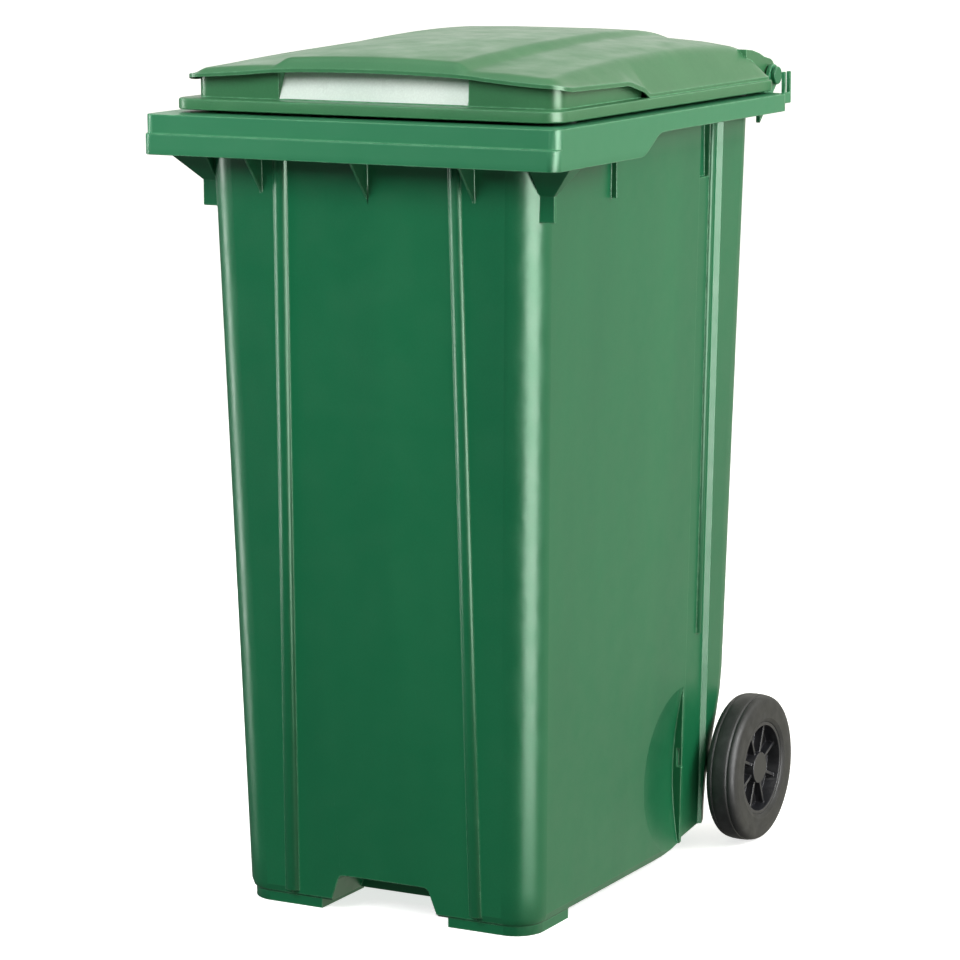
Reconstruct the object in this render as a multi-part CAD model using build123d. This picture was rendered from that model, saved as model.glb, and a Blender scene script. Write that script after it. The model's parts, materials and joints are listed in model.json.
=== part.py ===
from build123d import *
from math import cos, radians, sin
import os

# A two-wheeled litter bin of 240 litres: moulded tub with a front comb rim, hinged lid,
# steel axle and two wheels. Millimetres. X to the right seen from the front, Y to the back,
# Z up, the origin on the ground under the middle of the overall width and depth.

# Rim and tub
RIM_WIDTH = 580.0
RIM_DEPTH = 672.0
RIM_HEIGHT = 1016.0
RIM_SKIN = 4.0
RIM_FRONT_CORNER = 13.0
RIM_REAR_CORNER = 18.0
COMB_DEPTH = 50.0
COMB_STEP_DEPTH = 24.0
COMB_STEP_SETBACK = 4.5
COMB_REACH = 236.0
COMB_RISE_LENGTH = 46.0
SIDE_SKIRT_DEPTH = 23.0
TUB_WALL = 4.0
TUB_HALF_TOP = 237.0
SIDE_DRAFT = 0.0245
FRONT_GAP_TOP = 51.5
FRONT_DRAFT = 0.028
REAR_GAP_TOP = 4.0
REAR_DRAFT = 0.014
FRONT_CORNER = 42.0
REAR_CORNER_TOP = 20.0
REAR_CORNER_BASE = 44.0
REAR_CORNER_SWELL = 50.0
SWELL_TOP = 240.0
SWELL_BASE = 60.0
SWELL_LEVELS = (60.0, 90.0, 120.0, 150.0, 180.0, 210.0, 240.0)
BASE_HEIGHT = 12.0
BASE_ROUND = 12.0
REAR_LIFT = 30.0
REAR_LIFT_LENGTH = 210.0

# Front wall: two long beads with a shallow panel between them, and a toe recess at the foot
BEAD_HALF_TOP = 123.0
BEAD_HALF_BASE = 134.5
BEAD_RADIUS = 11.0
BEAD_SINK = 6.8
PANEL_DEPTH = 2.5
PANEL_TOP_GAP = 66.0
TOE_HALF_TOP = 64.0
TOE_HALF_BASE = 82.0
TOE_HEIGHT = 48.0
TOE_DEPTH = 78.0
TOE_CORNER = 9.0
FOOT_INSET = 5.0
FOOT_INNER = 92.0
FOOT_LENGTH = 112.0

# Gussets and ribs under the rim
RIB = 3.0
GUSSET_PITCH = 150.0
GUSSET_DROP = 48.0
GUSSET_LEAD = 14.0
BRACKET_SETBACK = 75.0
BRACKET_DEPTH = 6.0
BRACKET_ROOT = 8.0
BRACKET_REACH = 48.0
BRACKET_LEAD = 28.0
BRACKET_WAIST = 12.5
BRACKET_NECK = 36.0
BRACKET_DROP = 68.0
SIDE_RIB_SETBACK = 256.0
SIDE_RIB_DROP = 104.0
SIDE_RIB_REACH = 8.0

# Lifting channel down each side, near the back
CHANNEL_START = 514.0
CHANNEL_WIDTH = 67.0
CHANNEL_DEPTH = 7.0
CHANNEL_BEVEL = 4.0
POCKET_WIDTH = 40.0
POCKET_DROP = 102.0
POCKET_HEIGHT = 74.0
POCKET_DEPTH = 8.0
CHANNEL_BEAD = 5.0

# Wheel bay, axle and wheels
AXLE_SETBACK = 650.0
AXLE_DIAMETER = 20.0
WHEEL_DIAMETER = 200.0
WHEEL_WIDTH = 44.0
WHEEL_TRACK = 500.0
SCOOP_SETBACK = 507.0
SCOOP_HEIGHT = 112.0
SCOOP_LENGTH = 150.0
SCOOP_RADIUS = 500.0
SCOOP_DEPTH = 13.0
NOTCH_LOW = 127.0
NOTCH_HIGH = 152.0
NOTCH_DEPTH = 7.0
HOUSING_END = 150.0
TUNNEL_HEIGHT = 42.0
HOUSING_LENGTH = 52.0
SPACER_WALL = 4.5
RUNNING_GAP = 0.05
FACE_GAP = 0.4
RIM_DISC_RADIUS = 63.0
DISH_RADIUS = 58.5
BOSS_RADIUS = 21.0
BOSS_PROUD = 3.0
SPOKES = 8
SPOKE_WIDTH = 4.0
SPOKE_DEPTH = 6.0
TREAD_CROWN = 2.5
TREAD_GROOVE = 2.0
TYRE_SHOULDER = 8.0
TYRE_BEAD = 3.0

# Spring lock that holds each wheel on the axle
GROOVE_DEPTH = 2.0
LOCK_PIN_DIAMETER = 7.0
LOCK_COLLAR_DIAMETER = 11.0
LOCK_COLLAR_LENGTH = 3.0
LOCK_POCKET_DIAMETER = 12.0
LOCK_TRAVEL = 4.0
LOCK_STEM_CLEARANCE = 3.0
SPRING_WIRE = 1.0
SPRING_TURNS = 7

# Lid
LID_GAP = 4.0
LID_FLANGE = 14.0
LID_WALL = 3.0
LID_HALF_WIDTH = 272.0
LID_FRONT_SETBACK = 40.0
LID_REAR_SETBACK = 676.0
LID_CORNER = 26.0
LID_STEP_IN = 5.0
LIP_SETBACK = 57.0
CROWN_SETBACK = 400.0
SHOULDER_SETBACK = 600.0
# Half-width of each lengthwise line of the lid's top, and its rise above the rim at the front
# lip, the crown, the rear shoulder and the rear edge
LID_LINES = ((0.0, 73.0, 87.0, 77.0, 54.0), (125.0, 69.0, 84.5, 75.0, 51.0),
             (148.0, 59.0, 79.0, 70.0, 47.0), (230.0, 45.0, 61.5, 55.0, 38.0))
GRIP_FLOOR = 20.0
GRIP_ARCH = ((300.0, 43.0), (235.0, 44.0), (126.0, 54.0))
GRIP_DEPTH = 15.0
GRIP_LEAN = 20.0
SIDE_GRIP_DEPTH = 11.0
VISOR_END = 288.0
VISOR_INNER = (53.0, 55.0)
VISOR_OUTER = (39.0, 21.0)
SIDE_GRIP = ((0.0, 43.0), (84.0, 38.5), (241.0, 36.0), (284.0, 25.0), (280.0, 20.0))

# Hinge and handles
HINGE_SETBACK = 712.0
HINGE_RISE = 20.0
HINGE_PIN_DIAMETER = 12.0
KNUCKLE_RADIUS = 23.0
KNUCKLE_WIDTH = 30.0
KNUCKLE_CENTRE = 227.0
CHEEK = 6.0
CHEEK_GAP = 5.0
CHEEK_RADIUS = 15.0
CHEEK_FOOT_DROP = 46.0
GRIP_RADIUS = 13.0
GRIP_INNER = 68.0
FORK_CENTRE = 281.0
FORK_WIDTH = 5.0
FORK_PRONG = 4.0
FORK_RISE = 28.0
FORK_REAR_SETBACK = 691.0
FORK_OPENING = 12.0
BUFFER_DIAMETER = 16.0
BUFFER_STUD = 6.0
BUFFER_HALF = 252.0
BUFFER_SETBACKS = (("front", 110.0), ("rear", 600.0))

# Worked out from the sizes above
OVERALL_DEPTH = AXLE_SETBACK + WHEEL_DIAMETER / 2
COMB_FACE = -OVERALL_DEPTH / 2
RIM_HALF = RIM_WIDTH / 2
AXLE_Y = COMB_FACE + AXLE_SETBACK
AXLE_Z = WHEEL_DIAMETER / 2
AXLE_R = AXLE_DIAMETER / 2
WHEEL_X = WHEEL_TRACK / 2
HINGE_Y = COMB_FACE + HINGE_SETBACK
HINGE_Z = RIM_HEIGHT + HINGE_RISE
LID_BASE = RIM_HEIGHT + LID_GAP
LID_SHOULDER = LID_BASE + LID_FLANGE
HUB_IN = WHEEL_X - WHEEL_WIDTH / 2 - BOSS_PROUD
HUB_OUT = WHEEL_X + WHEEL_WIDTH / 2 - BOSS_PROUD * 2
LOCK_X = HUB_IN + LOCK_POCKET_DIAMETER / 2 + LID_WALL
LOCK_SEAT = AXLE_R + LID_WALL
LOCK_TOP = 43.0
SIDES = (-1, 1)


def back(distance):
    """Y of a point this far behind the comb's front face."""
    return COMB_FACE + distance


def side_at(z):
    return TUB_HALF_TOP - (RIM_HEIGHT - z) * SIDE_DRAFT


def front_at(z):
    return back(FRONT_GAP_TOP + (RIM_HEIGHT - z) * FRONT_DRAFT)


def rear_at(z):
    return back(RIM_DEPTH - REAR_GAP_TOP - (RIM_HEIGHT - z) * REAR_DRAFT)


def rear_corner_at(z):
    """Radius of the tub's rear corners, which grows fast towards the wheels."""
    plain = REAR_CORNER_BASE + (REAR_CORNER_TOP - REAR_CORNER_BASE) * z / RIM_HEIGHT
    share = min(max((SWELL_TOP - z) / (SWELL_TOP - SWELL_BASE), 0), 1)
    return plain + REAR_CORNER_SWELL * share * share * (3 - 2 * share)


def plate(half, front, rear, z, front_radius, rear_radius):
    """A flat rectangle at height z with its own corner radius at the front and at the back."""
    face = Pos(0, (front + rear) / 2, z) * Rectangle(2 * half, rear - front)
    corners = face.vertices().sort_by(Axis.Y)
    face = fillet(corners[:2], front_radius)
    corners = face.vertices().sort_by(Axis.Y)[-2:]
    return fillet(corners, rear_radius)


def tub_plate(z, inset):
    return plate(side_at(z) - inset, front_at(z) + inset, rear_at(z) - inset, z,
                 FRONT_CORNER - inset, rear_corner_at(z) - inset)


def side_prism(points, half):
    """A prism across X with these (y, z) corners."""
    face = make_face(Plane.YZ * Polyline(*points, close=True))
    return extrude(face, half, both=True)


def front_prism(points, front, rear, radius=0.0, rounded=()):
    """A prism along Y with these (x, z) corners; the listed corners are rounded."""
    face = make_face(Plane.XZ * Polyline(*points, close=True))
    if radius:
        picked = [v for v in face.vertices() if any(abs(v.X - points[i][0]) < 1e-3
                  and abs(v.Z - points[i][1]) < 1e-3 for i in rounded)]
        face = fillet(picked, radius)
    return Pos(0, front, 0) * extrude(face, rear - front, dir=(0, 1, 0))


def rod(radius, x0, x1, y, z):
    """A cylinder along X."""
    return Pos((x0 + x1) / 2, y, z) * Rot(0, 90, 0) * Cylinder(radius, abs(x1 - x0))


def block(x0, x1, y0, y1, z0, z1):
    centre = Pos((x0 + x1) / 2, (y0 + y1) / 2, (z0 + z1) / 2)
    return centre * Box(abs(x1 - x0), abs(y1 - y0), abs(z1 - z0))


def turned(points, y, z):
    """A body turned about the X axis through (y, z) from (x, radius) corners."""
    face = make_face(Plane.XY * Polyline(*points, close=True))
    return Pos(0, y, z) * revolve(face, Axis.X)


# ---- tub ----

def channel_plate(z, side, inset):
    """Plan of one lifting channel at height z; the inset grows it towards the inside."""
    start, end = back(CHANNEL_START) - inset, back(CHANNEL_START + CHANNEL_WIDTH) + inset
    floor = side_at(z) - CHANNEL_DEPTH - inset
    mouth = side_at(z) + CHANNEL_BEVEL
    points = [(side * mouth, start - CHANNEL_BEVEL), (side * floor, start + CHANNEL_BEVEL),
              (side * floor, end - CHANNEL_BEVEL), (side * mouth, end + CHANNEL_BEVEL)]
    return Pos(0, 0, z) * make_face(Polyline(*points, close=True))


def channel(side, inset):
    low, high = BASE_HEIGHT - BASE_ROUND, RIM_HEIGHT + BASE_ROUND
    return loft([channel_plate(low, side, inset), channel_plate(high, side, inset)], ruled=True)


def pocket(side, inset):
    """The deeper pocket at the top of a lifting channel."""
    top = RIM_HEIGHT - POCKET_DROP + POCKET_HEIGHT + inset
    floor = side_at(top) - CHANNEL_DEPTH - POCKET_DEPTH - inset
    return block(side * floor, side * RIM_HALF, back(CHANNEL_START) - inset,
                 back(CHANNEL_START + POCKET_WIDTH) + inset, RIM_HEIGHT - POCKET_DROP - inset, top)


def wheel_scoop(side, inset):
    """The shallow dish in the tub's side in front of the wheel."""
    centre = side_at(SCOOP_HEIGHT) - SCOOP_DEPTH + SCOOP_RADIUS
    ball = Pos(side * centre, back(SCOOP_SETBACK), SCOOP_HEIGHT) * Sphere(SCOOP_RADIUS + inset)
    inner = side_at(SCOOP_HEIGHT) - SCOOP_DEPTH * 2
    return ball & block(side * inner, side * RIM_HALF, back(SCOOP_SETBACK - SCOOP_LENGTH),
                        back(SCOOP_SETBACK) + inset, BASE_HEIGHT - BASE_ROUND, SCOOP_HEIGHT + SCOOP_LENGTH)


def toe_recess(inset):
    points = [(-TOE_HALF_BASE - inset, -inset), (-TOE_HALF_TOP - inset, TOE_HEIGHT + inset),
              (TOE_HALF_TOP + inset, TOE_HEIGHT + inset), (TOE_HALF_BASE + inset, -inset)]
    return front_prism(points, back(0), front_at(0) + TOE_DEPTH + inset, TOE_CORNER, (1, 2))


def rear_lift(inset):
    """The wedge under the tub's back edge."""
    start, end = rear_at(0) - REAR_LIFT_LENGTH, rear_at(0) + TUB_WALL
    return side_prism([(start, 0), (start, BASE_HEIGHT + inset), (end, BASE_HEIGHT + REAR_LIFT + inset),
                       (end, 0)], RIM_HALF)


def axle_tunnel(inset):
    """The cross groove in the tub's back that the axle lies in."""
    reach = TUNNEL_HEIGHT / 2 + inset
    return block(-RIM_HALF, RIM_HALF, AXLE_Y - reach, back(RIM_DEPTH), AXLE_Z - reach, AXLE_Z + reach)


def front_panel(inset):
    """The shallow field between the two beads of the front wall."""
    low, high = BASE_HEIGHT, RIM_HEIGHT - PANEL_TOP_GAP + COMB_DEPTH
    plates = []
    for z, half in ((low, BEAD_HALF_BASE), (high, BEAD_HALF_TOP)):
        front = front_at(z)
        half = half - inset
        plates.append(block(-half, half, front - PANEL_DEPTH, front + PANEL_DEPTH + inset, z, z + TUB_WALL)
                      .faces().sort_by(Axis.Z)[0])
    return loft(plates, ruled=True)


def tub_body(inset):
    """The tub's closed outer form, or with an inset the space inside its wall."""
    base = BASE_HEIGHT + inset
    top = RIM_HEIGHT + (BASE_ROUND if inset else 0)
    plates = [tub_plate(base, inset + BASE_ROUND * 0.55), tub_plate(base + BASE_ROUND * 0.3,
              inset + BASE_ROUND * 0.2), tub_plate(base + BASE_ROUND, inset)]
    plates += [tub_plate(z, inset) for z in (*SWELL_LEVELS, top)]
    body = loft(plates, ruled=True)
    cuts = [front_panel(inset)]
    for side in SIDES:
        cuts += [channel(side, inset), pocket(side, inset), wheel_scoop(side, inset)]
    cuts += [toe_recess(inset), rear_lift(inset), axle_tunnel(inset)]
    for cut in cuts:
        body -= cut
    return body


def feet():
    """The two pads under the front corners."""
    pad = extrude(tub_plate(0, FOOT_INSET), BASE_HEIGHT + BASE_ROUND * 0.4)
    group = []
    for side in SIDES:
        front = front_at(0)
        group.append(pad & block(side * FOOT_INNER, side * RIM_HALF, front, front + FOOT_LENGTH,
                                 0, RIM_HEIGHT))
    return group


def beads():
    """The long beads of the front wall and the small ones in the lifting channels."""
    low, high = BASE_HEIGHT + BASE_ROUND * 0.7, RIM_HEIGHT - TUB_WALL
    group = []
    for side in SIDES:
        foot = Vector(side * BEAD_HALF_BASE, front_at(low) + BEAD_SINK, low)
        head = Vector(side * BEAD_HALF_TOP, front_at(high) + BEAD_SINK, high)
        group.append(bead(foot, head, BEAD_RADIUS))
        y = back(CHANNEL_START + CHANNEL_WIDTH * 0.7)
        foot_z = AXLE_Z + WHEEL_DIAMETER
        foot = Vector(side * (side_at(foot_z) - CHANNEL_DEPTH), y, foot_z)
        head = Vector(side * (side_at(high) - CHANNEL_DEPTH), y, high)
        group.append(bead(foot, head, CHANNEL_BEAD))
    return group


def bead(foot, head, radius):
    line = Line(foot, head)
    return sweep(Plane(foot, z_dir=line % 0) * Circle(radius), line)


def rim_form(inset):
    """The rim's outer form with its deep front comb, or with an inset the hollow under its skin."""
    top = RIM_HEIGHT - inset
    outer = plate(RIM_HALF - inset, back(inset), back(RIM_DEPTH - inset), RIM_HEIGHT - COMB_DEPTH - inset,
                  RIM_FRONT_CORNER - inset / 2, RIM_REAR_CORNER - inset)
    form = extrude(outer, COMB_DEPTH)
    setback = COMB_STEP_SETBACK
    tier = plate(RIM_HALF - inset, back(setback + inset), back(RIM_DEPTH), top - COMB_STEP_DEPTH,
                 RIM_FRONT_CORNER, RIM_REAR_CORNER)
    step = block(-RIM_WIDTH, RIM_WIDTH, back(-setback), back(setback + RIM_FRONT_CORNER * 2),
                 top - COMB_STEP_DEPTH, top)
    form -= step - extrude(tier, COMB_STEP_DEPTH)
    rise = back(COMB_REACH) - inset
    low = RIM_HEIGHT - COMB_DEPTH - inset
    high = RIM_HEIGHT - SIDE_SKIRT_DEPTH - inset
    profile = make_face(Plane.YZ * Polyline((back(-setback), low), (rise, low), (rise + COMB_RISE_LENGTH, high),
                        (back(RIM_DEPTH), high), (back(RIM_DEPTH), top), (back(-setback), top), close=True))
    bends = [v for v in profile.vertices() if rise - 1 < v.Y < rise + COMB_RISE_LENGTH + 1]
    profile = fillet(bends, COMB_RISE_LENGTH * 0.7)
    return form & extrude(profile, RIM_WIDTH, both=True)


def gussets():
    """The ribs that stiffen the comb: three at the front, one bracket at each front corner, one each side."""
    wall = RIM_HEIGHT - COMB_DEPTH
    front = back(FRONT_GAP_TOP) + TUB_WALL
    top = RIM_HEIGHT - RIM_SKIN / 2
    group = []
    for index in (-1, 0, 1):
        fin = side_prism([(back(GUSSET_LEAD), top), (back(GUSSET_LEAD), wall), (front, wall - GUSSET_DROP),
                          (front, top)], RIB / 2)
        group.append(Pos(index * GUSSET_PITCH, 0, 0) * fin)
    for side in SIDES:
        group.append(bracket(side, wall, top))
        y_rib = back(SIDE_RIB_SETBACK)
        x = side_at(RIM_HEIGHT - SIDE_RIB_DROP)
        group.append(block(side * (x - TUB_WALL / 2), side * (x + SIDE_RIB_REACH), y_rib - RIB / 2,
                           y_rib + RIB / 2, RIM_HEIGHT - SIDE_RIB_DROP, top))
    return group


def bracket(side, wall, top):
    """The hooked gusset under one front corner of the comb."""
    face = side_at(wall)
    front, rear = back(BRACKET_SETBACK), back(BRACKET_SETBACK + BRACKET_DEPTH)
    levels = []
    for z, reach, lead in ((wall, BRACKET_REACH, BRACKET_LEAD), (wall - BRACKET_NECK, BRACKET_WAIST, 0)):
        slab = block(side * (face - BRACKET_ROOT), side * (face + reach), front - lead, rear, z, z + RIB)
        levels.append(slab.faces().sort_by(Axis.Z)[0])
    hook = loft(levels, ruled=True)
    hook += block(side * (face - BRACKET_ROOT), side * (face + BRACKET_WAIST), front, rear,
                  wall - BRACKET_DROP, wall - BRACKET_NECK)
    hook += block(side * (face - BRACKET_ROOT), side * (face + BRACKET_REACH), rear - RIB, rear, wall, top)
    return hook + block(side * (face - BRACKET_ROOT), side * (face - BRACKET_ROOT + RIB), front - BRACKET_LEAD,
                        rear, wall, top)


def fin_notch(side):
    """The gap in the narrow ridge between the wheel scoop and the lifting channel."""
    outer = side_at(NOTCH_LOW)
    return block(side * (outer - NOTCH_DEPTH), side * RIM_HALF, back(SCOOP_SETBACK - RIB),
                 back(CHANNEL_START), NOTCH_LOW, NOTCH_HIGH)


def axle_housings():
    """The two bored housings that carry the axle at the ends of its tunnel."""
    group = []
    reach = TUNNEL_HEIGHT / 2 + TUB_WALL / 2
    for side in SIDES:
        inner, outer = HOUSING_END - HOUSING_LENGTH, HOUSING_END
        housing = block(side * inner, side * outer, AXLE_Y - reach, AXLE_Y, AXLE_Z - reach, AXLE_Z + reach)
        group.append(housing + rod(TUNNEL_HEIGHT / 2, side * inner, side * outer, AXLE_Y, AXLE_Z))
    return group


def cheek_face():
    """Outline of a hinge cheek: an eye round the hinge axis drawn down to the tub's rear wall."""
    foot = rear_at(RIM_HEIGHT) - TUB_WALL / 2
    low, high = HINGE_Z - CHEEK_FOOT_DROP - CHEEK_RADIUS, RIM_HEIGHT - SIDE_SKIRT_DEPTH
    eye = CenterArc((HINGE_Y, HINGE_Z), CHEEK_RADIUS, 0, 360)
    return Plane.YZ * make_hull([eye, Line((foot, low), (foot, high))])


def fork(side):
    """The two-pronged upstand behind each rear corner of the rim."""
    x0, x1 = side * (FORK_CENTRE - FORK_WIDTH / 2), side * (FORK_CENTRE + FORK_WIDTH / 2)
    rear = back(FORK_REAR_SETBACK)
    front = rear - FORK_OPENING - 2 * FORK_PRONG
    low, high = RIM_HEIGHT - FORK_RISE / 2, RIM_HEIGHT + FORK_RISE
    root = back(RIM_DEPTH - RIM_REAR_CORNER)
    body = block(x0, x1, root, rear, low, RIM_HEIGHT)
    return body + block(x0, x1, front, front + FORK_PRONG, low, high) + block(x0, x1, rear - FORK_PRONG,
                                                                              rear, low, high)


def rear_frame():
    """The cheeks that carry the hinge and the two handle grips, and the forks on the rim's corners."""
    group = []
    reach = KNUCKLE_WIDTH / 2 + CHEEK_GAP
    for side in SIDES:
        for centre in (KNUCKLE_CENTRE + reach, KNUCKLE_CENTRE - reach, GRIP_INNER):
            group.append(Pos(side * centre, 0, 0) * extrude(cheek_face(), CHEEK / 2, both=True))
        group.append(rod(GRIP_RADIUS, side * GRIP_INNER, side * (KNUCKLE_CENTRE - reach), HINGE_Y, HINGE_Z))
        group.append(fork(side))
    return group


def tub():
    rim = rim_form(0) - rim_form(RIM_SKIN)
    pieces = feet() + beads() + gussets() + axle_housings() + rear_frame()
    body = tub_body(0) + rim
    for piece in pieces:
        body += piece
    body -= tub_body(TUB_WALL)
    for side in SIDES:
        reach = KNUCKLE_WIDTH / 2 + CHEEK_GAP + CHEEK
        body -= rod(HINGE_PIN_DIAMETER / 2 + RUNNING_GAP, side * pin_end(), side * (KNUCKLE_CENTRE + reach),
                    HINGE_Y, HINGE_Z)
        body -= rod(AXLE_R + RUNNING_GAP, 0, side * RIM_HALF, AXLE_Y, AXLE_Z)
        body -= fin_notch(side)
    return body


# ---- lid and hinge ----

def pin_end():
    """Distance of the hinge pin's blind end from the middle of the bin."""
    return KNUCKLE_CENTRE - KNUCKLE_WIDTH / 2 - CHEEK_GAP - CHEEK / 4


def lid_rib(x, rises, inset, base):
    """One lengthwise section of the lid at x, with its top a smooth line through four points."""
    lip, crown, shoulder, edge = [RIM_HEIGHT + rise - inset for rise in rises]
    front, rear = back(LIP_SETBACK) + inset, back(LID_REAR_SETBACK - 1) - inset
    top = Spline((front, lip), (back(CROWN_SETBACK), crown), (back(SHOULDER_SETBACK), shoulder), (rear, edge))
    frame = Polyline((rear, edge), (rear, base), (front, base), (front, lip))
    return Pos(x, 0, 0) * (Plane.YZ * make_face([top, frame]))


def lid_dome(inset):
    """The lid's raised top, or with an inset the space inside it."""
    base = LID_BASE - LID_GAP / 2 if inset else LID_SHOULDER - LID_WALL / 2
    edge = (LID_HALF_WIDTH - LID_STEP_IN, *[LID_SHOULDER - RIM_HEIGHT + 1] * 4)
    lines = [*LID_LINES, edge]
    stations = [(-line[0] + inset, line[1:]) for line in reversed(lines[1:])]
    stations += [(0, lines[0][1:])] + [(line[0] - inset, line[1:]) for line in lines[1:]]
    dome = loft([lid_rib(x, rises, inset, base) for x, rises in stations], ruled=True)
    for side in SIDES:
        dome += side_visor(side, inset, base)
    half = LID_HALF_WIDTH - LID_STEP_IN - inset
    bound = plate(half, back(LIP_SETBACK) + inset, back(LID_REAR_SETBACK - 1) - inset, base, LID_CORNER,
                  LID_CORNER)
    return dome & extrude(bound, RIM_HEIGHT)


def side_visor(side, inset, base):
    """The front part of the lid's side, which stands out as the end of the lip."""
    inner, outer = LID_LINES[-1][0] - inset, LID_HALF_WIDTH - LID_STEP_IN - inset
    front = back(LIP_SETBACK) + inset
    knee, end = back(SIDE_GRIP[2][0]), back(VISOR_END)
    lip = RIM_HEIGHT - inset
    faces = []
    for x, rises in ((inner, (LID_LINES[-1][1], *VISOR_INNER)), (outer, (LID_LINES[-1][1], *VISOR_OUTER))):
        outline = Polyline((front, base), (front, lip + rises[0]), (knee, lip + rises[1]),
                           (end, lip + rises[2]), (end, base), close=True)
        faces.append(Pos(side * x, 0, 0) * (Plane.YZ * make_face(outline)))
    return loft(faces, ruled=True)


def grip_recess(inset):
    """The finger recess under the front lip and its ends round both sides."""
    floor = RIM_HEIGHT + GRIP_FLOOR - inset
    arch = [(x + inset, RIM_HEIGHT + rise + inset) for x, rise in GRIP_ARCH]
    front = [(-x, z) for x, z in arch] + [(x, z) for x, z in reversed(arch)]
    front = [(-arch[0][0], floor), *front, (arch[0][0], floor)]
    cut = front_prism(front, back(0), back(LIP_SETBACK + GRIP_DEPTH) + inset)
    rear = back(LIP_SETBACK + GRIP_DEPTH) + inset
    top = RIM_HEIGHT + GRIP_ARCH[-1][1] - 1 + inset
    slope = [(back(0), floor), (rear, floor), (rear + GRIP_LEAN, top), (back(0), top)]
    cut += side_prism(slope, GRIP_ARCH[-1][0] + inset)
    side_view = [(back(0), floor)] + [(back(y) + (inset if y else 0), RIM_HEIGHT + rise + inset)
                                      for y, rise in SIDE_GRIP[:-1]] + [(back(SIDE_GRIP[-1][0]), floor)]
    bar = side_prism(side_view, RIM_WIDTH)
    half = LID_HALF_WIDTH - LID_STEP_IN - SIDE_GRIP_DEPTH - inset
    return cut + (bar - block(-half, half, back(0), back(RIM_DEPTH), LID_BASE, RIM_HEIGHT * 2))


def lid_space(inset):
    """The whole lid as a solid: flange band and dome, less the grip recess."""
    top = LID_SHOULDER - inset
    base = LID_BASE - (LID_GAP / 2 if inset else 0)
    band = extrude(plate(LID_HALF_WIDTH - inset, back(LID_FRONT_SETBACK) + inset,
                         back(LID_REAR_SETBACK) - inset, base, LID_CORNER - inset, LID_CORNER - inset), top - base)
    return band + (lid_dome(inset) - grip_recess(inset))


def knuckle(side):
    """A hinge arm of the lid with its eye."""
    x0 = side * (KNUCKLE_CENTRE - KNUCKLE_WIDTH / 2)
    x1 = side * (KNUCKLE_CENTRE + KNUCKLE_WIDTH / 2)
    arm = block(x0, x1, back(LID_REAR_SETBACK - LID_WALL), HINGE_Y, LID_BASE + LID_GAP / 2,
                HINGE_Z + KNUCKLE_RADIUS - LID_WALL)
    eye = rod(KNUCKLE_RADIUS, x0, x1, HINGE_Y, HINGE_Z)
    under = block(x0, x1, HINGE_Y - KNUCKLE_RADIUS * 2, HINGE_Y + KNUCKLE_RADIUS * 2,
                  HINGE_Z - KNUCKLE_RADIUS * 2, LID_BASE + LID_GAP / 2)
    return arm + (eye - under)


def buffer_places():
    """Name and (x, y) of the four lid buffers."""
    for row, setback in BUFFER_SETBACKS:
        for side, word in zip(SIDES, ("left", "right")):
            yield f"lid_buffer_{row}_{word}", side * BUFFER_HALF, back(setback)


def lid():
    whole = lid_space(0)
    body = whole - lid_space(LID_WALL)
    for side in SIDES:
        body += knuckle(side)
        body -= rod(HINGE_PIN_DIAMETER / 2 + RUNNING_GAP, side * GRIP_INNER, side * RIM_HALF, HINGE_Y, HINGE_Z)
    for _, x, y in buffer_places():
        height = LID_FLANGE * 3
        body += Pos(x, y, LID_BASE + height / 2) * Cylinder(BUFFER_DIAMETER / 2, height) & whole
        hole = BUFFER_DIAMETER / 2
        body -= Pos(x, y, LID_BASE + hole / 2) * Cylinder(BUFFER_STUD / 2 + RUNNING_GAP, hole)
    return body


def lid_buffer(x, y):
    """A rubber button pressed into the lid's flange."""
    foot = LID_GAP - FACE_GAP
    stud = BUFFER_DIAMETER / 2 - FACE_GAP
    pad = Pos(x, y, LID_BASE - foot / 2) * Cylinder(BUFFER_DIAMETER / 2 - FACE_GAP, foot)
    return pad + Pos(x, y, LID_BASE + stud / 2) * Cylinder(BUFFER_STUD / 2, stud)


def hinge_pin(side):
    """A headed pin through both cheeks and the lid's eye."""
    face = KNUCKLE_CENTRE + KNUCKLE_WIDTH / 2 + CHEEK_GAP + CHEEK / 2
    shaft = rod(HINGE_PIN_DIAMETER / 2, side * (pin_end() + FACE_GAP), side * face, HINGE_Y, HINGE_Z)
    head = rod(CHEEK_RADIUS - LID_WALL, side * face, side * (face + CHEEK), HINGE_Y, HINGE_Z)
    return shaft + chamfer(head.edges().filter_by(GeomType.CIRCLE), CHEEK / 6)


# ---- axle and wheels ----

def axle():
    """The steel axle with a lock groove near each end."""
    end = HUB_OUT - LID_WALL - FACE_GAP
    body = rod(AXLE_R, -end, end, AXLE_Y, AXLE_Z)
    body = chamfer(body.edges().filter_by(GeomType.CIRCLE), GROOVE_DEPTH / 2)
    half = LOCK_PIN_DIAMETER / 2 + 1
    for side in SIDES:
        ring = rod(AXLE_R + 1, side * (LOCK_X - half), side * (LOCK_X + half), AXLE_Y, AXLE_Z)
        body -= ring - rod(AXLE_R - GROOVE_DEPTH, 0, side * RIM_HALF, AXLE_Y, AXLE_Z)
    return body


def axle_spacer(side):
    """The sleeve that keeps the wheel off the tub."""
    inner, outer = HOUSING_END + FACE_GAP, HUB_IN - FACE_GAP
    sleeve = rod(AXLE_R + SPACER_WALL, side * inner, side * outer, AXLE_Y, AXLE_Z)
    return sleeve - rod(AXLE_R + RUNNING_GAP, 0, side * RIM_HALF, AXLE_Y, AXLE_Z)


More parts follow.
